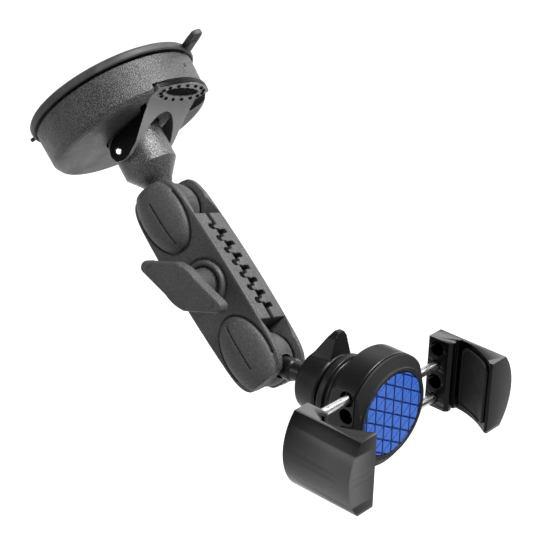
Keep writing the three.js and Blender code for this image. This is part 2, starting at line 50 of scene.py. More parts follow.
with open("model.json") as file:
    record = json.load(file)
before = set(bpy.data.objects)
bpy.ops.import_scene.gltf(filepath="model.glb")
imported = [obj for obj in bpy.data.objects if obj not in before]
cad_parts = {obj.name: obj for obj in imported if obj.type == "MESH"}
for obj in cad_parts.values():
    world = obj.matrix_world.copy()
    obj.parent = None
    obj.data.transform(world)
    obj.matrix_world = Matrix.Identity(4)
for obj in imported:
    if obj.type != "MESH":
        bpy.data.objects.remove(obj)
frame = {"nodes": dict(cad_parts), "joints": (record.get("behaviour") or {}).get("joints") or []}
cad_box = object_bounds()
JOINTS = {joint["name"]: joint for joint in frame["joints"]}

# ---------------- driving dimensions, mm

BALL_R = 12.5            # rubber-coated 25 mm ball
CORE_R = 10.2            # its core under the rubber
SMALL_BALL_R = 8.5
POST_NECK_R = 4.8        # where each neck meets its ball
ADAPTER_NECK_R = 4.9
SMALL_NECK_R = 3.9
BASE_BALL_HEIGHT = 66.7
ARM_PITCH = 86.0         # between the arm's two balls
ARM_MIDDLE = ARM_PITCH / 2
ADAPTER_LENGTH = 33.9
HUB_BALL_DEPTH = 27.5

CUP_R = 42.5
HOUSING_R = 41.3
HOUSING_TOP = 24.3
POST_R = 13.3
PIN_X = -2.0
PIN_HEIGHT = 33.0
PIN_R = 1.6
PIN_HALF = 17.4          # half the length of the lever's pin
TAB_ROOT = math.radians(-15.7)
TAB_TURN = math.radians(31.6)
TAIL_ANGLE = math.radians(157)
CUP_STEPS = 180
PAD_SLOPE = 0.023        # rise of the lever's thumb pad toward its tip
PAD_X = 33.6             # middle of the dotted grip on the thumb pad
PAD_TOP = 22.35
PAD_RING = (6.1, 17.4)   # half axes of the ring of dots
DOT_COUNT = 15
DOT_R = 1.05

ARM_HALF_WIDTH = 15.8
ARM_FACE = 11.5
DOME_RISE = 5.3
DOME_LENGTH = 19.5       # half length and half width of the raised ovals
DOME_WIDTH = 12.4
DOME_SHIFT = 4.0
ARM_END = 10.5
ARM_SPLIT = 1.4
ARM_VOXEL = 0.33         # both shells are resampled at the same fineness
COMB_COUNT = 7
COMB_PITCH = 7.0
COMB_SHIFT = -1.0
KNOB_LIFT = 13.0         # underside of the paddle above the arm's face
KNOB_THICK = 7.0
KNOB_TURN = math.radians(30)

HUB_R = 26.4
HUB_FLAT = 21.4
HUB_FRONT = 8.8
HUB_REACH = 30.0         # beyond the hub's rim, for its cutters
PAD_R = 19.2
PAD_GRID = 6.0           # spacing of the pad's grooves
PAD_BACK = 11.9
PAD_FRONT = 13.4
ROD_R = 2.0
ROD_PITCH = 8.4
ROD_DEPTH = 4.6
ROD_INNER = 12.3         # where a rod ends beyond the hub's middle
JAW_INNER = 41.1
JAW_HALF_HEIGHT = 17.6
JAW_DEPTH = 35.8
JAW_BARREL_X = 28.9      # each jaw's outside is part of a barrel about this line
JAW_BARREL_R = 27.1
MOUTH_R = 3.5            # wide mouth of each rod hole in the hub
MOUTH_DEPTH = 5.0

BEVEL_SEGMENTS = 3
SMOOTH_ANGLE = math.radians(30)

# ---------------- local frames


def joint_point(name):
    return Vector(JOINTS[name]["pos_m"])


def joint_axis(name):
    return Vector(JOINTS[name]["axis"]).normalized()


def local_frame(origin, axis, across):
    """Millimetres with z along axis and x as near to across as it can be, to the row frame."""
    z = axis.normalized()
    x = (across - z * across.dot(z)).normalized()
    turn = Matrix((x, z.cross(x), z)).transposed().to_4x4()
    return Matrix.Translation(origin) @ turn @ Matrix.Scale(MM, 4)


SIDEWAYS = Vector((1, 0, 0))
BASE_AXIS = joint_axis("post_lift")
LEVER_DIRECTION = BASE_AXIS.cross(joint_axis("lever_cam"))
UPPER_BALL = joint_point("base_ball_tilt")
LOWER_BALL = joint_point("adapter_tilt")
ADAPTER_AXIS = joint_axis("adapter_turn")
HUB_AXIS = joint_axis("holder_turn")
HUB_CENTRE = joint_point("holder_turn") + HUB_AXIS * HUB_BALL_DEPTH * MM

BASE = local_frame(Vector(), BASE_AXIS, LEVER_DIRECTION)
UPPER_JOINT = local_frame(UPPER_BALL, BASE_AXIS, LEVER_DIRECTION)
ARM = local_frame(UPPER_BALL, joint_axis("base_ball_tilt"), LOWER_BALL - UPPER_BALL)
ADAPTER = local_frame(LOWER_BALL, ADAPTER_AXIS, SIDEWAYS)
LOWER_JACKET = local_frame(LOWER_BALL, -ADAPTER_AXIS, SIDEWAYS)
HUB = local_frame(HUB_CENTRE, HUB_AXIS, SIDEWAYS)

# ---------------- outlines


def rounded(points, closed=True, steps=5):
    """Turns corners given as (x, y, radius) into arcs. A corner given as (x, y) stays sharp."""
    outline = []
    for i, point in enumerate(points):
        corner = Vector(point[:2])
        if len(point) < 3 or (not closed and i in (0, len(points) - 1)):
            outline.append(tuple(corner))
            continue
        back = (Vector(points[i - 1][:2]) - corner).normalized()
        ahead = (Vector(points[(i + 1) % len(points)][:2]) - corner).normalized()
        half = back.angle(ahead) / 2
        centre = corner + (back + ahead).normalized() * point[2] / math.sin(half)
        first = corner + back * point[2] / math.tan(half) - centre
        last = corner + ahead * point[2] / math.tan(half) - centre
        start = math.atan2(first.y, first.x)
        sweep = (math.atan2(last.y, last.x) - start + math.pi) % TAU - math.pi
        for k in range(steps + 1):
            angle = start + sweep * k / steps
            x = centre.x + point[2] * math.cos(angle)
            y = centre.y + point[2] * math.sin(angle)
            outline.append((x, y))
    return outline


def bezier(a, b, c, d, steps=12):
    """Points on a cubic curve, without its first point."""
    points = []
    for k in range(1, steps + 1):
        t = k / steps
        weights = ((1 - t) ** 3, 3 * t * (1 - t) ** 2, 3 * t * t * (1 - t), t ** 3)
        points.append(tuple(sum(w * p[i] for w, p in zip(weights, (a, b, c, d))) for i in (0, 1)))
    return points


def arc(radius, centre_z, start, end, steps=24):
    """Profile points (r, z) on a ball, with angles from the +z pole in degrees."""
    angles = [math.radians(start + (end - start) * k / steps) for k in range(steps + 1)]
    return [(radius * math.sin(a), centre_z + radius * math.cos(a)) for a in angles]


def ellipse(cx, cy, a, b, steps=72, ripple=0.0, waves=0):
    """Points round an ellipse. With ripple its edge is scalloped, once for each wave."""
    points = []
    for k in range(steps):
        angle = TAU * k / steps
        size = 1 + ripple * math.cos(waves * angle)
        points.append((cx + a * size * math.cos(angle), cy + b * size * math.sin(angle)))
    return points


def rectangle(x0, y0, x1, y1, radius=0.0):
    corners = [(x0, y0), (x1, y0), (x1, y1), (x0, y1)]
    return rounded([(x, y, radius) for x, y in corners]) if radius else corners


# ---------------- solids


def make(verts, faces):
    mesh = bpy.data.meshes.new("part")
    mesh.from_pydata(verts, [], faces)
    shaper = bmesh.new()
    shaper.from_mesh(mesh)
    bmesh.ops.remove_doubles(shaper, verts=shaper.verts, dist=1e-5)
    bmesh.ops.recalc_face_normals(shaper, faces=shaper.faces)
    shaper.to_mesh(mesh)
    shaper.free()
    obj = bpy.data.objects.new("part", mesh)
    bpy.context.scene.collection.objects.link(obj)
    return obj


def bridge(rings, count):
    """Faces between neighbouring rings of count points, where a ring of one point is a pole."""
    faces = []
    for low, high in zip(rings, rings[1:]):
        for k in range(count):
            n = (k + 1) % count
            loop = [low[k % len(low)], low[n % len(low)], high[n % len(high)], high[k % len(high)]]
            loop = [v for i, v in enumerate(loop) if v != loop[i - 1]]
            if len(loop) > 2:
                faces.append(loop)
    return faces


def bake(obj):
    """Applies the object's modifiers."""
    graph = bpy.context.evaluated_depsgraph_get()
    old = obj.data
    new = bpy.data.meshes.new_from_object(obj.evaluated_get(graph))
    obj.modifiers.clear()
    obj.data = new
    bpy.data.meshes.remove(old)
    return obj


def lathe(profile, steps, closed=False):
    """A turned solid from (r, z) points: an open profile starts and ends on the axis.

    Some overlapping cutters are given different step counts, because the exact boolean left
    gaps where their facets shared edges.
    """
    verts, rings = [], []
    for r, z in profile:
        count = 1 if r < 1e-6 else steps
        rings.append([len(verts) + k for k in range(count)])
        turns = [TAU * k / steps for k in range(count)]
        verts += [(r * math.cos(turn), r * math.sin(turn), z) for turn in turns]
    return make(verts, bridge(rings + rings[:1] if closed else rings, steps))


def prism(outline, low, high, bevel=0.0):
    """A flat outline in local XY, raised from z = low to z = high, with its rims softened."""
    count = len(outline)
    verts = [(x, y, z) for z in (low, high) for x, y in outline]
    faces = [list(range(count)), list(range(count, 2 * count))]
    faces += [[k, (k + 1) % count, count + (k + 1) % count, count + k] for k in range(count)]
    obj = make(verts, faces)
    return soften(obj, bevel) if bevel else obj


def side_prism(outline, low, high):
    """An outline in local XZ, extruded across y."""
    return turned(prism(outline, -high, -low), Matrix.Rotation(math.pi / 2, 4, "X"))


def turned(obj, matrix):
    obj.data.transform(matrix)
    return obj


def moved(obj, x=0.0, y=0.0, z=0.0):
    return turned(obj, Matrix.Translation((x, y, z)))


def soften(obj, width, angle=35):
    """Rounds the edges that turn by more than angle, in degrees."""
    bevel = obj.modifiers.new("bevel", "BEVEL")
    bevel.width = width
    bevel.segments = BEVEL_SEGMENTS
    bevel.limit_method = "ANGLE"
    bevel.angle_limit = math.radians(angle)
    return bake(obj)


def rod(start, end, radius, chamfer=0.0, steps=48):
    """A cylinder between two points, its rims cut back by chamfer."""
    span = Vector(end) - Vector(start)
    length = span.length
    if chamfer:
        inset = radius - chamfer
        profile = [(0, 0), (inset, 0), (radius, chamfer)]
        profile += [(radius, length - chamfer), (inset, length), (0, length)]
    else:
        profile = [(0, 0), (radius, 0), (radius, length), (0, length)]
    turn = span.to_track_quat("Z", "Y").to_matrix().to_4x4()
    return turned(lathe(profile, steps), Matrix.Translation(start) @ turn)


def combine(obj, operation, *tools):
    for tool in tools:
        boolean = obj.modifiers.new("boolean", "BOOLEAN")
        boolean.operation = operation
        boolean.solver = "EXACT"
        boolean.object = tool
        bake(obj)
        bpy.data.objects.remove(tool)
    return obj


def join(obj, *tools):
    return combine(obj, "UNION", *tools)


def cut(obj, *tools):
    return combine(obj, "DIFFERENCE", *tools)


def common(obj, *tools):
    return combine(obj, "INTERSECT", *tools)


def moulded(obj, voxel, passes=3):
    """Gives a solid the small even radii of a moulding by resampling and smoothing it."""
    remesh = obj.modifiers.new("voxels", "REMESH")
    remesh.mode = "VOXEL"
    remesh.voxel_size = voxel
    smooth = obj.modifiers.new("smooth", "SMOOTH")
    smooth.factor = 0.5
    smooth.iterations = passes
    return bake(obj)


# ---------------- materials


class Shader:
    """A Principled material with short helpers for its procedural nodes."""

    def __init__(self, name, roughness, metallic=0.0, gloss=0.5):
        self.material = bpy.data.materials.new(name)
        self.material.use_nodes = True
        self.tree = self.material.node_tree
        self.surface = self.tree.nodes["Principled BSDF"]
        self.surface.inputs["Roughness"].default_value = roughness
        self.surface.inputs["Metallic"].default_value = metallic
        self.surface.inputs["Specular IOR Level"].default_value = gloss
        self.place = self.tree.nodes.new("ShaderNodeTexCoord").outputs["Object"]

    def node(self, kind, **values):
        node = self.tree.nodes.new(kind)
        for key, value in values.items():
            setattr(node, key, value)
        return node

    def link(self, source, target):
        self.tree.links.new(source, target)

    def feed(self, source, name):
        """Drives one of the surface's inputs."""
        self.link(source, self.surface.inputs[name])

    def noise(self, size_mm, detail=2.0, stretch=None):
        """Noise with lumps of about size_mm, longer along an axis whose stretch is below 1."""
        node = self.node("ShaderNodeTexNoise")
        node.inputs["Scale"].default_value = 1.0 / (size_mm * MM)
        node.inputs["Detail"].default_value = detail
        place = self.place
        if stretch:
            mapping = self.node("ShaderNodeMapping")
            mapping.inputs["Scale"].default_value = stretch
            self.link(place, mapping.inputs["Vector"])
            place = mapping.outputs["Vector"]
        self.link(place, node.inputs["Vector"])
        return node.outputs["Fac"]

    def cells(self, size_mm):
        node = self.node("ShaderNodeTexVoronoi")
        node.inputs["Scale"].default_value = 1.0 / (size_mm * MM)
        self.link(self.place, node.inputs["Vector"])
        return node.outputs["Distance"]

    def ramp(self, value, low, high, from_min=0.35, from_max=0.65):
        """Spreads a range of value, by default the middle of a noise's, from low to high."""
        node = self.node("ShaderNodeMapRange")
        node.inputs["From Min"].default_value = from_min
        node.inputs["From Max"].default_value = from_max
        node.inputs["To Min"].default_value = low
        node.inputs["To Max"].default_value = high
        self.link(value, node.inputs["Value"])
        return node.outputs["Result"]

    def blend(self, factor, first, second):
        """A colour between two, either of which is a colour or another node's output."""
        node = self.node("ShaderNodeMix", data_type="RGBA")
        self.link(factor, node.inputs["Factor"])
        for value, key in ((first, "A"), (second, "B")):
            socket = next(s for s in node.inputs if s.name == key and s.type == "RGBA")
            if isinstance(value, tuple):
                socket.default_value = (*value, 1)
            else:
                self.link(value, socket)
        return next(s for s in node.outputs if s.type == "RGBA")

    def bump(self, height, depth_mm, below=None):
        node = self.node("ShaderNodeBump")
        node.inputs["Strength"].default_value = 1.0
        node.inputs["Distance"].default_value = depth_mm * MM
        self.link(height, node.inputs["Height"])
        if below:
            self.link(below, node.inputs["Normal"])
        return node.outputs["Normal"]

    def worn_and_highlit_edges(self, colour, edge_wear_and_highlight):
        """Lightens the raised edges a little: partly wear from handling, partly a painted highlight."""
        geometry = self.node("ShaderNodeNewGeometry")
        edge = self.ramp(geometry.outputs["Pointiness"], 0.0, 1.0, 0.53, 0.60)
        return self.blend(edge, colour, edge_wear_and_highlight)


def shade(value):
    """A grey that is very slightly blue."""
    return (value, value, value * 1.02)


def scaled(colour, factor):
    return tuple(c * factor for c in colour)


def moulded_plastic(name, base, grain_mm, depth_mm, roughness, gloss=0.3,
                    sparkle=0.0, spread=0.25, metallic=0.0):
    """Plastic or casting with a moulded grain, uneven gloss and lighter edges, partly wear and partly a
    painted highlight.

    Sparkle paints glints into the colour at the middles of the grains, and spread is how far the base
    shade varies.
    """
    look = Shader(name, roughness, metallic, gloss)
    grain = look.noise(grain_mm, 3.0)
    drift = look.noise(14.0, 2.0)
    dark, light = shade(base * (1 - spread)), shade(base * (1 + spread))
    colour = look.blend(look.ramp(grain, 0.0, 1.0), dark, light)
    if sparkle:
        # painted glints: the middles of the grain cells are lightened toward base + sparkle
        painted_glints = look.ramp(look.cells(grain_mm), 1.0, 0.0, 0.0, 0.55)
        colour = look.blend(painted_glints, colour, shade(base + sparkle))
    # edges lightened, partly as wear and partly as a painted highlight
    colour = look.worn_and_highlit_edges(colour, shade(base * 1.7 + 0.01))
    look.feed(colour, "Base Color")
    look.feed(look.ramp(drift, roughness - 0.06, roughness + 0.08), "Roughness")
    fine = look.bump(look.noise(grain_mm * 0.4, 2.0), depth_mm * 0.4)
    look.feed(look.bump(grain, depth_mm, below=fine), "Normal")
    return look.material


def satin_metal(name, base, roughness):
    """Black coated aluminium: a fine even tooth, faint long streaks and a painted highlight on its edges.
    """
    look = Shader(name, roughness, gloss=0.12)
    streaks = look.noise(0.5, 2.0, stretch=(1.0, 0.08, 1.0))
    colour = look.blend(look.ramp(streaks, 0.0, 1.0), shade(base * 0.7), shade(base * 1.3))
    # painted highlight: the edges are lightened strongly
    colour = look.worn_and_highlit_edges(colour, shade(base * 6 + 0.06))
    look.feed(colour, "Base Color")
    drift = look.ramp(look.noise(12.0), roughness - 0.02, roughness + 0.03, 0.2, 0.8)
    look.feed(drift, "Roughness")
    look.feed(look.bump(look.noise(0.25), 0.008), "Normal")
    return look.material


def brushed_metal(name, colour, roughness):
    """Bare metal with fine lines drawn out sideways."""
    look = Shader(name, roughness, 1.0)
    lines = look.noise(0.35, 3.0, stretch=(0.15, 1.0, 1.0))
    look.feed(look.blend(look.ramp(lines, 0.0, 1.0), scaled(colour, 0.75), colour), "Base Color")
    look.feed(look.ramp(lines, roughness - 0.05, roughness + 0.12), "Roughness")
    look.feed(look.bump(lines, 0.01), "Normal")
    return look.material


def soft_rubber(name, base, roughness=0.55):
    """Matt rubber with a little sheen, mottled as if by dust."""
    look = Shader(name, roughness, gloss=0.2)
    look.surface.inputs["Sheen Weight"].default_value = 0.04
    look.surface.inputs["Sheen Roughness"].default_value = 0.4
    dust = look.noise(6.0, 4.0)
    colour = look.blend(look.ramp(dust, 0.0, 1.0), shade(base * 0.8), shade(base * 1.35))
    # edges lightened, partly as wear and partly as a painted highlight
    look.feed(look.worn_and_highlit_edges(colour, shade(base * 2)), "Base Color")
    look.feed(look.ramp(dust, roughness - 0.08, roughness + 0.1), "Roughness")
    look.feed(look.bump(look.noise(0.3, 3.0), 0.02), "Normal")
    return look.material


def rubber_with_groove_shade(name, face, groove):
    """Pad rubber with painted shade in its grooves, which are marked in the mesh and darker than its
    faces.
    """
    look = Shader(name, 0.42, gloss=0.2)
    groove_shade_marks = look.node("ShaderNodeAttribute", attribute_name="groove").outputs["Fac"]
    mottle = look.noise(1.2, 4.0)
    base = look.blend(look.ramp(mottle, 0.0, 1.0), scaled(face, 0.86), scaled(face, 1.1))
    # painted shade: the marked grooves take the darker colour
    look.feed(look.blend(groove_shade_marks, base, groove), "Base Color")
    look.feed(look.ramp(mottle, 0.36, 0.5), "Roughness")
    look.feed(look.bump(look.noise(0.28, 2.0), 0.015), "Normal")
    return look.material


LOOKS = {
    # the plastics have a name, base shade, grain and its depth in mm, roughness and gloss
    "rubber": soft_rubber("membrane_rubber", 0.03),
    "housing": moulded_plastic("grained_black_plastic", 0.008, 0.55, 0.26, 0.42, 0.35, sparkle=0.09),
    "lever": moulded_plastic("satin_grey_plastic", 0.11, 0.5, 0.012, 0.38, spread=0.08),
    # the black of the grip and dots, also used as painted shade on the lever's cheeks
    "lever_black_and_shade": moulded_plastic("black_plastic_and_cheek_shade", 0.001, 0.5, 0.02, 0.4, 0.04),
    "post": moulded_plastic("cast_grey", 0.03, 0.6, 0.22, 0.3, 0.4, sparkle=0.10, metallic=0.5),
    "arm": moulded_plastic("grained_dark_composite", 0.028, 0.6, 0.20, 0.46, 0.25, sparkle=0.03),
    "steel": brushed_metal("brushed_steel", (0.62, 0.62, 0.63), 0.26),
    "holder": moulded_plastic("satin_black_plastic", 0.003, 0.4, 0.014, 0.34, 0.2),
    "bezel": moulded_plastic("matte_black_plastic", 0.007, 0.35, 0.03, 0.6, 0.15),
    "jaw": satin_metal("satin_black_coating", 0.001, 0.26),
    # the second colour is painted shade for the pad's grooves
    "pad": rubber_with_groove_shade("blue_pad_rubber", (0.010, 0.072, 0.34), (0.002, 0.007, 0.06)),
    "jaw_rubber": soft_rubber("jaw_pad_rubber", 0.008, 0.6),
    "brass": brushed_metal("machined_brass", (0.66, 0.5, 0.22), 0.3),
}


def finish_piece(obj, name, place, body, look, replaced=()):
    obj.name = name
    obj.data.name = name
    obj.data.transform(place)
    obj.data.shade_smooth()
    obj.data.set_sharp_from_angle(angle=SMOOTH_ANGLE)
    obj.data.materials.clear()
    obj.data.materials.append(LOOKS[look])
    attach(obj, body)
    if replaced:
        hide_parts(*replaced)
    return obj


# ---------------- suction base


def sealing_ring(radius):
    """A shallow groove in the suction face, as profile points."""
    return [(radius - 0.6, 0), (radius, 0.35), (radius + 0.6, 0)]


def membrane():
    """Rubber disc with sealing rings, a rolled lip, a slotted pull tab and its moulding gate's tail."""
    face = [(0, 0), (6, 0), *sealing_ring(12), (20, 0), (28, 0), *sealing_ring(35), *sealing_ring(39)]
    lip = [
        (CUP_R - 0.3, 0, 0.6), (CUP_R + 0.7, 1.2, 0.8), (CUP_R + 0.6, 3.6, 0.9),
        (CUP_R - 0.5, 4.3, 0.4), (CUP_R - 0.9, 3.2, 0.2),
    ]
    back = [(HOUSING_R - 3.4, 3.2, 0.3), (HOUSING_R - 4, 2.4, 0.3), (0, 2.4)]
    disc = lathe(rounded(face + lip + back, closed=False), CUP_STEPS)
    outline = rounded([
        (-3, -3.4), (12, -3.1, 6), (17.4, -2.6, 1.9), (17.4, 2.6, 1.9), (12, 3.1, 6), (-3, 3.4),
    ])
    tab = prism(outline, 0.9, 3.6, 0.6)
    slots = [prism(rectangle(x, -1.7, x + 0.9, 1.7, 0.4), 0, 6) for x in (12.6, 14.9)]
    ridge = prism(rectangle(1.5, -2.3, 10.8, 2.3, 0.8), 3.2, 3.95, 0.3)
    tab = join(cut(tab, *slots), ridge)
    root = CUP_R - 1
    place = Matrix.Translation((root * math.cos(TAB_ROOT), root * math.sin(TAB_ROOT), 0))
    turned(tab, place @ Matrix.Rotation(TAB_TURN, 4, "Z"))
    tail = rod((root, 0, 2.0), (CUP_R + 2.9, 0, 2.5), 0.95, 0.3, 20)
    turned(tail, Matrix.Rotation(TAIL_ANGLE, 4, "Z"))
    return join(disc, tab, tail)


def cup_housing():
    """Grained drum with a softly rounded rim and a stepped notch for the thumb pad."""
    shell = lathe(rounded([
        (HOUSING_R - 2.6, 5.0, 0.3), (HOUSING_R, 5.0, 0.5), (HOUSING_R - 0.6, 21.2, 1.2),
        (HOUSING_R - 2.2, HOUSING_TOP - 0.6, 1.0), (HOUSING_R - 4.4, HOUSING_TOP, 2.0),
        (POST_R + 0.6, HOUSING_TOP, 0.5), (POST_R + 0.6, HOUSING_TOP - 5, 0.3),
        (POST_R + 3, HOUSING_TOP - 5, 0.3), (POST_R + 3, HOUSING_TOP - 2.8, 0.3),
        (HOUSING_R - 5.4, HOUSING_TOP - 2.8, 0.5), (HOUSING_R - 3.2, 19.8, 0.5),
    ]), CUP_STEPS, closed=True)
    notch = prism([(19.2, -21.6), (45, -25), (45, 25), (19.2, 21.6)], HOUSING_TOP - 5.5, 40)
    step = prism([(21.5, -23.2), (45, -26.4), (45, 26.4), (21.5, 23.2)], HOUSING_TOP - 1.6, 40)
    inside = rod((0, 0, 0), (0, 0, 40), HOUSING_R - 0.9, steps=CUP_STEPS)
    floor = prism(rectangle(18, -25.4, HOUSING_R - 1, 25.4), HOUSING_TOP - 7.5, HOUSING_TOP - 5.5)
    wall = prism(rectangle(17.2, -23.4, 19.05, 23.4), HOUSING_TOP - 7.5, HOUSING_TOP - 1)
    recess = common(join(floor, wall), inside)
    gate_mark = rod((HOUSING_R - 1.5, 0, 12), (HOUSING_R + 0.15, 0, 12), 0.9, 0.25, 20)
    gate_mark = turned(gate_mark, Matrix.Rotation(math.radians(-2), 4, "Z"))
    return join(cut(shell, notch, step), recess, gate_mark)


def ball_post():
    """Cast post: barrel, shoulder, waisted neck and the ball that the rubber covers."""
    neck_angle = 180 - math.degrees(math.asin(POST_NECK_R / CORE_R))
    profile = rounded([
        (0, 9), (POST_R, 9, 0.4), (POST_R, 43.7, 0.9), (POST_R - 1.1, 45.1, 0.8),
        (7.2, 51.6, 2.5), (5.4, 55.2, 2.5), (4.9, 57.2),
    ], closed=False)
    profile += arc(CORE_R, BASE_BALL_HEIGHT, neck_angle, 0)
    return lathe(profile, 128)


def lever_fork():
    """Two-armed lever with an arched window, bored for its pin, and a recessed thumb pad."""
    side = rounded([
        (43, 19.6, 0.4), (42.6, 21.6, 1.0), (41, 22.5, 1), (28, 22.2, 4), (19.8, 26.8, 4),
        (9, 34.1, 6), (2, 37.5, 3), (PIN_X, 38.1, 2.5), (-5.8, 36.8, 2), (-7.2, 33, 2),
        (-6.2, 29.8, 2), (-3.6, 27.4, 1), (-1, 25.9, 1), (3, 25.6, 2), (12, 25.3, 3),
        (19.4, 25, 0.3), (20.2, 24.2, 0.3), (20.2, 19.6, 0.4),
    ])
    plan = rounded([
        (-9, -17.2), (9, -17.2, 8), (24, -19.6, 8), (45, -24.4),
        (45, 24.4), (24, 19.6, 8), (9, 17.2, 8), (-9, 17.2),
    ])
    arch = [(-20, -14.1), (6, -14.1)]
    arch += bezier((6, -14.1), (13, -13.2), (21.5, -8), (21.5, 0))
    arch += bezier((21.5, 0), (21.5, 8), (13, 13.2), (6, 14.1))
    arch.append((-20, 14.1))
    rim = rod((0, 0, 0), (0, 0, 60), HOUSING_R + 0.6, steps=CUP_STEPS)
    body = common(side_prism(side, -26, 26), prism(plan, 0, 60), rim)
    bore = rod((PIN_X, -30, PIN_HEIGHT), (PIN_X, 30, PIN_HEIGHT), PIN_R + 0.3)
    body = cut(body, prism(arch, 0, 60), bore)
    recess = on_thumb_pad(prism(ellipse(0, 0, 3.5, 13.8, 150, ripple=0.05, waves=15), -0.9, 5))
    raised = on_thumb_pad(prism(ellipse(0, 0, 7.3, 19.2), -2, 0.2, 0.2))
    return moulded(cut(join(body, raised), recess), 0.32)


def on_thumb_pad(obj):
    """Moves a shape drawn round the origin to the sloping top of the thumb pad."""
    slope = Matrix.Identity(4)
    slope[2][0] = PAD_SLOPE
    return turned(obj, Matrix.Translation((PAD_X, 0, PAD_TOP)) @ slope)


def lever_grip():
    """Cross-cut insert in the thumb pad's recess."""
    half_x, half_y, cell, rise = 3.3, 13.4, 1.6, 0.5

    def height(x, y):
        u, v = (x + y) / cell, (x - y) / cell
        return rise * (1 - max(abs((u % 1) * 2 - 1), abs((v % 1) * 2 - 1)) ** 2)

    field = height_block(half_x, half_y, 0.19, -0.9, height, -0.45)
    return on_thumb_pad(common(field, prism(ellipse(0, 0, half_x - 0.1, half_y - 0.1), -5, 5)))


def lever_dots():
    """Ring of raised dots round the insert."""
    verts, faces = [], []
    for k in range(DOT_COUNT):
        angle = TAU * (k + 0.5) / DOT_COUNT
        centre = Vector((PAD_RING[0] * math.cos(angle), PAD_RING[1] * math.sin(angle), 0.1))
        dot = bmesh.new()
        bmesh.ops.create_uvsphere(dot, u_segments=16, v_segments=10, radius=DOT_R)
        first = len(verts)
        verts += [tuple(centre + vert.co) for vert in dot.verts]
        # sorted, since the new sphere's faces come in no fixed order
        faces += sorted([first + vert.index for vert in face.verts] for face in dot.faces)
        dot.free()
    return on_thumb_pad(make(verts, faces))


def height_block(half_x, half_y, step, low, height, base):
    """A block about the origin whose top follows height(x, y) above base."""
    nx, ny = round(2 * half_x / step), round(2 * half_y / step)
    verts = []
    for top in (False, True):
        for j in range(ny + 1):
            for i in range(nx + 1):
                x, y = -half_x + 2 * half_x * i / nx, -half_y + 2 * half_y * j / ny
                verts.append((x, y, base + height(x, y) if top else low))
    layer = (nx + 1) * (ny + 1)
    faces = []
    for j in range(ny):
        for i in range(nx):
            a = j * (nx + 1) + i
            faces.append([layer + a, layer + a + 1, layer + a + nx + 2, layer + a + nx + 1])
    border = list(range(nx + 1))
    border += [j * (nx + 1) + nx for j in range(1, ny + 1)]
    border += [ny * (nx + 1) + i for i in range(nx - 1, -1, -1)]
    border += [j * (nx + 1) for j in range(ny - 1, 0, -1)]
    for k, a in enumerate(border):
        b = border[(k + 1) % len(border)]
        faces.append([a, b, layer + b, layer + a])
    faces.append(border[::-1])
    return make(verts, faces)


def shade_cheeks_darken_tip(obj):
    """The lever's outer cheeks beside the pin get the black as painted shade, and the faces on the outer
    edge of its tip are given the same black.
    """
    obj.data.materials.append(LOOKS["lever_black_and_shade"])
    inverse = BASE.inverted()
    turn = inverse.to_3x3().normalized()
    for face in obj.data.polygons:
        centre = inverse @ face.center
        normal = turn @ face.normal
        # painted shade: both outer cheeks are given the black
        on_cheek = abs(normal.y) > 0.75 and centre.x < 24 and abs(centre.y) > 15.4
        on_tip = normal.x > 0.6 and centre.x > 34
        if on_cheek or on_tip:
            face.material_index = 1


# ---------------- arm


def ball_jacket():
    """Rubber skin of a 25 mm ball with a faint seam, open round the neck on -z."""
    mouth, inner = 5.9, CORE_R + 0.4
    outer_end = 180 - math.degrees(math.asin(mouth / BALL_R))
    inner_end = 180 - math.degrees(math.asin(mouth / inner))
    profile = arc(BALL_R, 0, 0, 87, 24) + [(BALL_R + 0.15, 0.3), (BALL_R + 0.15, -0.3)]
    profile += arc(BALL_R, 0, 93, outer_end, 20) + arc(inner, 0, inner_end, 0, 24)
    return lathe(profile, 96)


def arm_plan(grow=0.0):
    """Plan of a shell: blunt round ends and a slightly fuller waist."""
    end, far, tip = -ARM_END - grow, ARM_PITCH + ARM_END + grow, 10 + grow
    waist, half, near = ARM_MIDDLE, ARM_HALF_WIDTH + grow, 15 + grow
    side = bezier((end, -tip), (end + 3, -14.4 - grow), (2, -14.6 - grow), (10, -near), 8)
    side += bezier((10, -near), (25, -half), (waist, -half), (waist, -half), 8)
    side += bezier((waist, -half), (waist, -half), (far - 35, -half), (far - 20, -near), 8)
    side += bezier((far - 20, -near), (far - 12, -14.6 - grow), (far - 3, -14.4 - grow), (far, -tip), 8)
    cap = bezier((far, -tip), (far + 2, -4), (far + 2, 4), (far, tip), 8)
    back = [(x, -y) for x, y in reversed(side[:-1])] + [(end, tip)]
    tail = bezier((end, tip), (end - 2, 4), (end - 2, -4), (end, -tip), 8)
    return side + cap + back + tail


def crown(distance, across):
    """Height of a raised oval above the shell's face, from its normalised radius."""
    swell = math.sqrt(max(0.0, 1 - distance ** 3))
    return DOME_RISE * swell * (1 - 0.3 * across * across) - 0.5


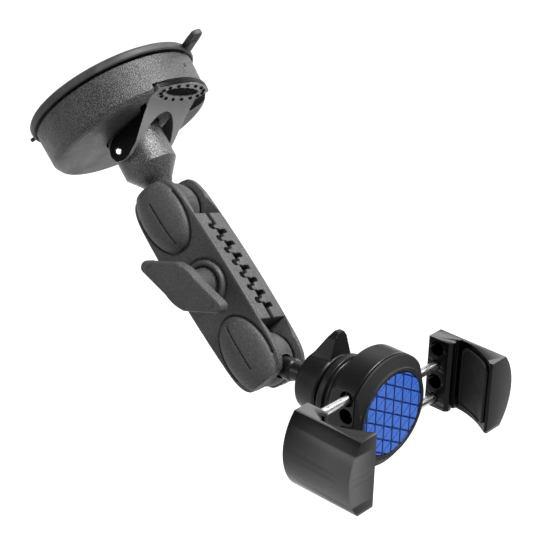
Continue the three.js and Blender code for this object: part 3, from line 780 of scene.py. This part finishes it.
def dome(centre):
    """One raised oval, as rings of points that follow the crown."""
    rings, steps = 22, 72
    verts = [(centre, 0, ARM_FACE + crown(0, 0))]
    for ring in range(1, rings + 1):
        distance = 1 - (1 - ring / rings) ** 1.6
        for k in range(steps):
            angle = TAU * k / steps
            across = distance * math.sin(angle)
            height = ARM_FACE + crown(distance, across)
            verts.append((centre + DOME_LENGTH * distance * math.cos(angle), DOME_WIDTH * across, height))
    bottom = len(verts)
    verts += [(x, y, 2.0) for x, y, _ in verts[bottom - steps:]]
    faces = [[0, 1 + k, 1 + (k + 1) % steps] for k in range(steps)]
    for ring in range(1, rings):
        a, b = 1 + (ring - 1) * steps, 1 + ring * steps
        faces += [[a + k, b + k, b + (k + 1) % steps, a + (k + 1) % steps] for k in range(steps)]
    a = bottom - steps
    faces += [[a + k, bottom + k, bottom + (k + 1) % steps, a + (k + 1) % steps] for k in range(steps)]
    faces.append([bottom + k for k in range(steps)])
    return make(verts, faces)


def dome_groove(centre, direction):
    """Cutter for the line groove round an oval, open at the arm's end."""
    line = 0.5
    outer = prism(ellipse(centre, 0, DOME_LENGTH + line, DOME_WIDTH + line), ARM_FACE - 0.9, 30)
    inner = prism(ellipse(centre, 0, DOME_LENGTH - line, DOME_WIDTH - line), 0, 40)
    ring = cut(outer, inner)
    start, end = sorted((centre - direction * 7, centre + direction * 40))
    return common(ring, prism(rectangle(start, -30, end, 30), 0, 40))


def dome_slot(centre, direction):
    """Cutter for the slit along an oval's crest, of even depth."""
    low, high = centre - direction * 7.5, centre + direction * 16
    points = []
    for k in range(17):
        x = low + (high - low) * k / 16
        points.append((x, ARM_FACE + crown(abs(x - centre) / DOME_LENGTH, 0) - 0.85))
    return side_prism(points + [(high, 30), (low, 30)], -0.55, 0.55)


def comb_positions():
    first = ARM_MIDDLE + COMB_SHIFT - (COMB_COUNT - 1) * COMB_PITCH / 2
    return [first + k * COMB_PITCH for k in range(COMB_COUNT)]


def arm_shell():
    """What both shells share: face, two ovals, ball sockets and room for the necks."""
    blank = prism(arm_plan(), ARM_SPLIT, ARM_FACE, 1.1)
    ends = [(DOME_SHIFT, 1), (ARM_PITCH - DOME_SHIFT, -1)]
    ovals = []
    for centre, _ in ends:
        trim = prism(arm_plan(-0.15), -6, ARM_FACE + DOME_RISE + 0.2, 3.4)
        ovals.append(common(dome(centre), trim))
    body = join(blank, *ovals)
    wedge = [(0, -5.4), (12, -7.3), (30, -14.6), (30, 14.6), (12, 7.3), (0, 5.4)]
    swing_end = 13.1
    for x, low, high in ((0, -40, swing_end), (ARM_PITCH, ARM_PITCH - swing_end, ARM_PITCH + 40)):
        swing = common(moved(lathe(wedge, 90), x), prism(rectangle(low, -40, high, 40), -40, 40))
        socket = moved(lathe(arc(BALL_R + 0.45, 0, 180, 0, 32), 96), x)
        body = cut(body, join(swing, socket))
    well = rod((ARM_MIDDLE, 0, -1), (ARM_MIDDLE, 0, 7), 7, steps=52)
    bore = rod((ARM_MIDDLE, 0, -1), (ARM_MIDDLE, 0, 30), 3.4)
    body = cut(body, join(well, bore))
    waistline = cut(prism(arm_plan(3.0), 8.3, 8.9), prism(arm_plan(-0.45), 0, 20))
    return cut(body, *[dome_groove(*end) for end in ends], *[dome_slot(*end) for end in ends], waistline)


def keyhole(x, low, top, half):
    """Cutter for one gap of the comb: straight sides and a round top."""
    outline = [(x - half, low), (x + half, low), (x + half, top)]
    turns = [math.pi * k / 10 for k in range(1, 10)]
    outline += [(x + half * math.cos(turn), top + half * math.sin(turn)) for turn in turns]
    outline.append((x - half, top))
    return side_prism(outline, 10.4, 20)


def arm_front_shell():
    """Shell on the knob's side: the knob's seat in a narrow moat, and the gaps of the comb."""
    ring = rounded([
        (7.9, 4), (11.2, 4), (11.2, ARM_FACE + 0.5, 0.6), (10.3, ARM_FACE + 1.6, 0.5),
        (8.9, ARM_FACE + 1.6, 0.4), (7.9, ARM_FACE + 0.6, 0.3),
    ])
    seat = moved(lathe(ring, 96, closed=True), ARM_MIDDLE)
    trench = rounded([(11.2, ARM_FACE - 0.7), (12.3, ARM_FACE - 0.7), (12.3, 20), (11.2, 20)])
    moat = moved(lathe(trench, 96, closed=True), ARM_MIDDLE)
    gaps = [keyhole(x, 0, 4.6, 1.55) for x in comb_positions()]
    return moulded(cut(join(arm_shell(), seat), moat, *gaps), ARM_VOXEL)


def arm_rear_shell():
    """The far shell: a well for the bolt's head, and the teeth of the comb."""
    hex_well = prism(ellipse(0, 0, 6.3, 6.3, 6), ARM_FACE - 4.6, ARM_FACE + 1)
    moved(hex_well, ARM_MIDDLE)
    slots = [keyhole(x + 3, 0, 4.4, 1.15) for x in comb_positions()]
    shell = cut(arm_shell(), hex_well, *slots)
    shell = turned(shell, Matrix.Scale(-1, 4, (0, 0, 1)))
    shell.data.flip_normals()
    tooth = rounded([(-1.1, -3), (1.1, -3), (1.1, 1.4, 0.9), (-1.1, 1.4, 0.9)])
    teeth = [moved(side_prism(tooth, 10.9, 15.0), x) for x in comb_positions()]
    return moulded(join(shell, *teeth), ARM_VOXEL)


def clamp_bolt():
    """Hexagon head in the rear shell and a plain shank up to the knob."""
    head = prism(ellipse(ARM_MIDDLE, 0, 5.8, 5.8, 6), -ARM_FACE + 0.3, -ARM_FACE + 4.3, 0.5)
    shank = rod((ARM_MIDDLE, 0, -ARM_FACE + 2), (ARM_MIDDLE, 0, ARM_FACE + 16), 2.9, 0.3)
    return join(head, shank)


def paddle_outline(scale=1.0):
    """A lozenge with two rounded tips, one half of it the other turned round."""
    tip = 24.0
    side = [(-6, -7), (-tip + 1, -2.4)]
    side += bezier((-tip + 1, -2.4), (-tip - 1.2, 0.6), (-tip + 0.6, 3.4), (-tip + 3.6, 3.6), 8)
    side += [(-6, 9.4)]
    side += bezier((-6, 9.4), (-1, 9.8), (3, 8.6), (6, 7), 8)
    half = side[1:]
    other = [(-x, -y) for x, y in half]
    return [(x * scale, y * scale) for x, y in half + other]


def wing_knob():
    """Lozenge paddle with a shallow border line, on a waisted stem."""
    base = ARM_FACE + 1.6
    low, high = ARM_FACE + KNOB_LIFT, ARM_FACE + KNOB_LIFT + KNOB_THICK
    paddle = prism(paddle_outline(), low, high, 1.3)
    border = cut(prism(paddle_outline(0.84), high - 0.35, high + 2), prism(paddle_outline(0.79), 0, 60))
    paddle = turned(cut(paddle, border), Matrix.Rotation(KNOB_TURN, 4, "Z"))
    stem = lathe(rounded([
        (0, base), (7.6, base, 0.4), (7.2, base + 4, 3), (6.2, base + 12), (0, base + 12),
    ], closed=False), 72)
    hole = rod((0, 0, base - 1), (0, 0, base + 15.4), 4.9)
    return moulded(moved(cut(join(paddle, stem), hole), ARM_MIDDLE), 0.3)


def ball_adapter():
    """Neck with a collar between the rubber-covered ball and the small ball."""
    core_angle = math.degrees(math.asin(ADAPTER_NECK_R / CORE_R))
    small_angle = 180 - math.degrees(math.asin(SMALL_NECK_R / SMALL_BALL_R))
    profile = arc(CORE_R, 0, 180, core_angle)
    profile += rounded([
        (ADAPTER_NECK_R, 9.4), (ADAPTER_NECK_R, 13.2, 0.3), (5.4, 13.9, 0.3), (5.4, 17.4, 0.4),
        (4.7, 18.5, 0.6), (4.1, 24.6, 1.0), (SMALL_NECK_R, 25.8),
    ], closed=False)
    profile += arc(SMALL_BALL_R, ADAPTER_LENGTH, small_angle, 0)
    return lathe(profile, 96)


# ---------------- phone holder


def ring_nut():
    """Ring nut with two wedge-shaped finger wings."""
    back, front = -32.4, -18.6
    ring = lathe(rounded([
        (7.6, back, 0.3), (12.6, back, 1.2), (14.4, back + 1.8, 1.2), (15.5, front - 1.2, 0.5),
        (14.9, front, 0.4), (12.7, front, 0.2), (12.7, -22), (12.1, -22.4), (12.1, back + 2.6),
        (10.4, back + 0.9), (8.2, back + 0.9),
    ]), 128, closed=True)
    fin = rounded([
        (-7.6, 12.6), (-3.4, 22.6, 3), (-1, 25.5, 0.7), (2.6, 25.6, 0.7), (4.4, 23.6, 0.6), (8.2, 12.6),
    ])
    blade = [(12.6, back + 2.4), (25.7, back + 8.4), (25.7, back + 11), (12.6, front - 0.4)]
    wings = []
    for angle in (80, 260):
        radial = turned(prism(fin, back, front), Matrix.Rotation(-math.pi / 2, 4, "Z"))
        wing = common(radial, side_prism(blade, -12, 12))
        wings.append(turned(wing, Matrix.Rotation(math.radians(angle), 4, "Z")))
    return moulded(join(ring, *wings), 0.28, 2)


def rod_heights():
    return [step * ROD_PITCH for step in (1.5, 0.5, -0.5, -1.5)]


def jaw_rod_heights(side):
    """The two rods that a jaw carries: the left jaw has the top one, and they alternate."""
    first = 0 if side < 0 else 1
    return rod_heights()[first::2]


def hub_housing():
    """Round hub with two flats, stepped flange rings behind and the rods' wide mouths."""
    body = lathe(rounded([
        (0, -18.4), (9.4, -18.4), (9.4, -21.8, 0.2), (12.2, -21.8, 0.3), (12.2, -16.4, 0.2),
        (16.6, -16.4, 0.3), (17.3, -15.7, 0.3), (17.3, -12.9, 0.3), (15.8, -12.2, 0.2),
        (15.8, -10.6, 0.3), (18, -9.4, 1), (21.6, -5.2, 2), (25.4, -3.9, 1), (HUB_R, -2.6, 0.8),
        (HUB_R, HUB_FRONT - 0.5, 0.3), (HUB_R - 0.5, HUB_FRONT), (0, HUB_FRONT),
    ], closed=False), 180)
    flats = prism(rectangle(-HUB_FLAT, -HUB_REACH, HUB_FLAT, HUB_REACH), -40, 20)
    pocket = prism(rectangle(-12, -16.6, 12, 16.6), 0.6, HUB_FRONT + 1)
    bores = []
    for y in rod_heights():
        bores.append(rod((-HUB_REACH, y, ROD_DEPTH), (HUB_REACH, y, ROD_DEPTH), ROD_R + 0.35))
        for side in (-1, 1):
            mouth = side * (HUB_FLAT - MOUTH_DEPTH)
            bores.append(rod((mouth, y, ROD_DEPTH), (side * HUB_REACH, y, ROD_DEPTH), MOUTH_R))
    return moulded(cut(common(body, flats), pocket, *bores), 0.3, 2)


def hub_bezel():
    """Sloping front ring with a fine raised lip round the pad."""
    ring = lathe(rounded([
        (0, HUB_FRONT + 0.3), (HUB_R - 0.4, HUB_FRONT + 0.3, 0.2), (HUB_R, HUB_FRONT + 0.8, 0.3),
        (HUB_R - 0.5, 10.2, 0.6), (PAD_R + 2.6, 12.7, 0.8), (PAD_R + 2.2, 13.1, 0.2),
        (PAD_R + 2.0, 13.6, 0.2), (PAD_R + 0.8, 13.6, 0.2), (PAD_R + 0.4, 13.1, 0.1),
        (PAD_R + 0.4, 11.6), (0, 11.6),
    ], closed=False), 180)
    return common(ring, prism(rectangle(-HUB_FLAT, -HUB_REACH, HUB_FLAT, HUB_REACH), 0, 20))


def groove_depth(x, y):
    """1 on a groove's line and 0 on the faces between: three families of parallel lines."""
    nearest = PAD_GRID
    for angle in (0, 60, 120):
        turn = math.radians(angle)
        offset = (x * math.cos(turn) + y * math.sin(turn)) % PAD_GRID
        nearest = min(nearest, offset, PAD_GRID - offset)
    half = 0.42
    return max(0.0, 1 - (nearest / half) ** 2)


def hub_pad():
    """Rubber disc cut by three families of grooves into triangles."""

    def height(x, y):
        return -0.55 * groove_depth(x, y)

    block = height_block(PAD_R + 1, PAD_R + 1, 0.27, PAD_BACK, height, PAD_FRONT)
    outline = rounded([
        (0, PAD_BACK), (PAD_R, PAD_BACK), (PAD_R, PAD_FRONT, 0.4), (0, PAD_FRONT),
    ], closed=False)
    disc = common(block, lathe(outline, 144))
    # the grooves are marked here for the painted shade in the pad's material
    groove_shade_marks = disc.data.attributes.new("groove", "FLOAT", "POINT")
    for vert, groove_shade_mark in zip(disc.data.vertices, groove_shade_marks.data):
        groove_shade_mark.value = min(1.0, groove_depth(vert.co.x, vert.co.y) * 1.6)
    return disc


def jaw_inner_edge():
    """The plan of a jaw's inside, from its back corner round the rod block to its tip."""
    edge = rounded([
        (50, 0), (JAW_INNER, 0, 0.01), (JAW_INNER, 10.9, 0.4), (42.6, 12.3, 0.5), (44.7, 12.3, 0.2),
        (44.9, 11.2, 0.2), (46.2, 11.2, 0.3), (46.5, 12.3, 0.2), (48.0, 12.8),
    ], closed=False, steps=3)[1:]
    edge += bezier((48.0, 12.8), (47.2, 22.4), (43.6, 28.4), (39.5, 34.4), 14)
    return edge + [(39.7, JAW_DEPTH)]


def jaw(side):
    """Black block and curved grip, its outside part of a barrel."""
    inner, slices = jaw_inner_edge(), 22
    verts, rings = [], []
    for k in range(slices + 1):
        y = JAW_HALF_HEIGHT * (2 * k / slices - 1)
        outer = JAW_BARREL_X + math.sqrt(JAW_BARREL_R ** 2 - y * y)
        ring = inner + [(outer, JAW_DEPTH), (outer, 0)]
        rings.append([len(verts) + i for i in range(len(ring))])
        verts += [(side * x, y, z) for x, z in ring]
    faces = [rings[0], rings[-1][::-1]] + bridge(rings, len(rings[0]))
    body = soften(make(verts, faces), 0.45, 40)
    holes = []
    own_heights = jaw_rod_heights(side)
    for y in rod_heights():
        radius = ROD_R + 0.3 if y in own_heights else 3.4
        start, end = side * (JAW_INNER - 1), side * (JAW_INNER + 8)
        holes.append(rod((start, y, ROD_DEPTH), (end, y, ROD_DEPTH), radius))
        rim = lathe([(0, 0), (radius + 1.4, 0), (radius - 0.1, 1.5), (0, 1.5)], 52)
        turned(rim, Matrix.Rotation(side * math.pi / 2, 4, "Y"))
        holes.append(moved(rim, start, y, ROD_DEPTH))
    return cut(body, *holes)


def jaw_pad(side):
    """Rubber grip pad: round corners, a raised rim, bent to the jaw's concave face."""
    path = [(48.0, 14.2)] + bezier((48.0, 14.2), (46.9, 22.4), (43.4, 28.2), (39.9, 33.0), 40)
    lengths = [0.0]
    for a, b in zip(path, path[1:]):
        lengths.append(lengths[-1] + math.dist(a, b))
    total, half = lengths[-1], JAW_HALF_HEIGHT - 2.4

    def on_face(s, y, t):
        """The point a distance s along the jaw's face, y across it and t proud of it."""
        k = min(range(len(path) - 1), key=lambda i: abs(lengths[i] + lengths[i + 1] - 2 * s))
        share = (s - lengths[k]) / (lengths[k + 1] - lengths[k])
        along = Vector(path[k + 1]) - Vector(path[k])
        normal = Vector((-along.y, along.x)).normalized()
        spot = Vector(path[k]) + along * share + normal * t
        return (side * spot.x, y, spot.y)

    corner = 3.6
    outline = rounded([
        (-total / 2, -half, corner), (total / 2, -half, corner),
        (total / 2, half, corner), (-total / 2, half, corner),
    ], steps=8)
    dense = []
    for a, b in zip(outline, outline[1:] + outline[:1]):
        count = max(1, round(math.dist(a, b)))
        for k in range(count):
            dense.append((a[0] + (b[0] - a[0]) * k / count, a[1] + (b[1] - a[1]) * k / count))
    back, face, rim = -0.2, 0.6, 1.0
    # loops of the pad's skin: the outline's scale and the height on the jaw's face
    layers = [(0.0, back), (0.5, back), (1.0, back), (1.0, 0.75), (0.985, rim), (0.95, rim), (0.93, face)]
    layers += [(0.9, face)] + [(scale / 10, face) for scale in range(8, -1, -1)]
    verts, rings = [], []
    for scale, t in layers:
        points = dense if scale else [(0, 0)]
        rings.append([len(verts) + i for i in range(len(points))])
        verts += [on_face(total / 2 + x * scale, y * scale, t) for x, y in points]
    return make(verts, bridge(rings, len(dense)))


def tube(x0, x1, y, inner, outer):
    """A short sleeve on a rod's line."""
    low, high = sorted((x0, x1))
    ring = lathe([(inner, low), (outer, low), (outer, high), (inner, high)], 48, closed=True)
    return moved(turned(ring, Matrix.Rotation(math.pi / 2, 4, "Y")), 0, y, ROD_DEPTH)


# ---------------- assembly

PIECES = [
    # solid, name, local frame, body, slot, look, CAD nodes it stands for
    (membrane, "membrane_disc", BASE, "base", "rubber", "rubber", ["suction_membrane"]),
    (cup_housing, "housing_drum", BASE, "base", "housing", "housing", ["cup_housing"]),
    (ball_post, "post_casting", BASE, "post", "post", "post", ["ball_post"]),
    (lever_grip, "lever_grip_insert", BASE, "lever", "holder", "lever_black_and_shade", []),
    (lever_dots, "lever_dots", BASE, "lever", "holder", "lever_black_and_shade", []),
    (ball_jacket, "upper_ball_rubber", UPPER_JOINT, "upper_ball", "rubber", "rubber",
     ["base_ball_jacket"]),
    (arm_front_shell, "front_shell", ARM, "arm", "arm", "arm", ["arm_front_shell"]),
    (arm_rear_shell, "rear_shell", ARM, "arm", "arm", "arm", ["arm_rear_shell"]),
    (clamp_bolt, "hexagon_bolt", ARM, "arm", "steel", "steel", ["clamp_bolt"]),
    (wing_knob, "paddle_knob", ARM, "knob", "arm", "arm", ["wing_knob"]),
    (ball_adapter, "adapter_neck", ADAPTER, "adapter", "holder", "holder", ["ball_adapter"]),
    (ball_jacket, "lower_ball_rubber", LOWER_JACKET, "lower_ball", "rubber", "rubber",
     ["adapter_ball_jacket"]),
    (ring_nut, "finger_nut", HUB, "nut", "holder", "holder", ["ring_nut"]),
    (hub_housing, "hub_barrel", HUB, "hub", "holder", "holder", ["hub_housing"]),
    (hub_bezel, "bezel_ring", HUB, "hub", "holder", "bezel", ["hub_bezel"]),
    (hub_pad, "grooved_pad", HUB, "hub", "pad", "pad", ["hub_pad"]),
]
for build, name, place, body, slot, look, replaced in PIECES:
    finish_piece(build(), name, place, body, look, replaced)

fork = finish_piece(lever_fork(), "lever_casting", BASE, "lever", "lever", ["cam_lever"])
shade_cheeks_darken_tip(fork)
pin = rod((PIN_X, -PIN_HALF, PIN_HEIGHT), (PIN_X, PIN_HALF, PIN_HEIGHT), PIN_R, 0.35)
finish_piece(pin, "lever_axle", BASE, "post", "steel", ["lever_pin"])

for label, side in (("left", -1), ("right", 1)):
    body = f"{label}_grip"
    finish_piece(jaw(side), f"{label}_jaw_block", HUB, body, "jaw", [f"{label}_jaw"])
    finish_piece(jaw_pad(side), f"{label}_grip_pad", HUB, body, "jaw_rubber",
                 [f"{label}_jaw_pad"])
    for y, level in zip(jaw_rod_heights(side), ("upper", "lower")):
        bar = rod((side * (JAW_INNER + 7), y, ROD_DEPTH), (-side * ROD_INNER, y, ROD_DEPTH), ROD_R, 0.4)
        finish_piece(bar, f"{label}_bar_{level}", HUB, body, "steel", [f"{label}_rod_{level}"])
        start = side * (HUB_FLAT - MOUTH_DEPTH + 0.3)
        bush = tube(start, start + side * 2.4, y, ROD_R + 0.3, MOUTH_R - 0.3)
        finish_piece(bush, f"{label}_bush_{level}", HUB, "hub", "holder",
                     [f"{label}_rod_bush_{level}"])

HIDDEN_NODES = {
    "holder": ["membrane_plunger", "socket_collet"],
    "brass": ["knob_insert"],
    "steel": [
        "plunger_spring", "arm_spring", "knob_washer", "bezel_screw_1", "bezel_screw_2",
        "left_rod_clip_upper", "left_rod_clip_lower", "right_rod_clip_upper", "right_rod_clip_lower",
    ],
}
for look, nodes in HIDDEN_NODES.items():
    for node in nodes:
        carried = frame["nodes"][node]
        carried.data.materials.clear()
        carried.data.materials.append(LOOKS[look])

# ---------------- studio

LOWEST = cad_box[0].z
CENTRE = (cad_box[0] + cad_box[1]) / 2


def studio_floor():
    """Floor well below the object. It is dark but glows white, so little light comes up from it."""
    size, drop = 6.0, 0.10
    floor = make([(-size, -size, 0), (size, -size, 0), (size, size, 0), (-size, size, 0)], [[0, 1, 2, 3]])
    floor.name = "studio_floor"
    floor.location = (CENTRE.x, CENTRE.y, LOWEST - drop)
    look = Shader("pale_floor", 0.9)
    tone = look.blend(look.noise(400.0), (0.10, 0.10, 0.10), (0.13, 0.13, 0.13))
    look.link(tone, look.surface.inputs["Base Color"])
    look.surface.inputs["Emission Color"].default_value = (1, 1, 1, 1)
    look.surface.inputs["Emission Strength"].default_value = 0.97
    floor.data.materials.append(look.material)


def softbox(name, direction, distance, size, power):
    """Square area light on the given side of the object, aimed at its middle."""
    light = bpy.data.lights.new(name, "AREA")
    light.shape = "SQUARE"
    light.size = size
    light.energy = power
    lamp = bpy.data.objects.new(name, light)
    toward = Vector(direction).normalized()
    lamp.location = CENTRE + toward * distance
    lamp.rotation_mode = "QUATERNION"
    lamp.rotation_quaternion = toward.to_track_quat("Z", "Y")
    bpy.context.scene.collection.objects.link(lamp)


def studio_lights():
    """A weak white world, which shows as grey above the horizon, and four softboxes."""
    world = bpy.data.worlds.new("studio")
    world.use_nodes = True
    world.node_tree.nodes["Background"].inputs["Color"].default_value = (1, 1, 1, 1)
    world.node_tree.nodes["Background"].inputs["Strength"].default_value = 0.30
    bpy.context.scene.world = world
    softbox("key_light", (0.25, -0.43, 0.86), 1.0, 0.35, 32)
    softbox("side_light", (1.0, 0.05, 0.35), 0.9, 0.4, 3)
    softbox("fill_light", (-0.9, 0.4, 0.3), 1.2, 0.6, 4)
    softbox("top_light", (0.6, 0.6, 0.6), 1.3, 0.8, 3)


def studio_camera():
    """Long lens from the left front and above, rolled a little."""
    eye = Vector((-0.4886, -0.5478, 0.2644))
    ahead = Vector((0.6661, 0.6015, -0.4409)).normalized()
    roll = math.radians(1.44)
    level = ahead.cross(Vector((0, 0, 1))).normalized()
    right = level * math.cos(roll) + level.cross(ahead) * math.sin(roll)
    data = bpy.data.cameras.new("camera")
    data.lens = 106.67
    data.sensor_width = 36
    data.clip_start = 0.01
    camera = bpy.data.objects.new("camera", data)
    camera.rotation_mode = "QUATERNION"
    axes = Matrix((right, right.cross(ahead), -ahead)).transposed()
    camera.rotation_quaternion = axes.to_quaternion()
    camera.location = eye
    bpy.context.scene.collection.objects.link(camera)
    bpy.context.scene.camera = camera


studio_floor()
studio_lights()
studio_camera()
bpy.context.scene.view_settings.view_transform = "Standard"

bpy.context.view_layer.update()
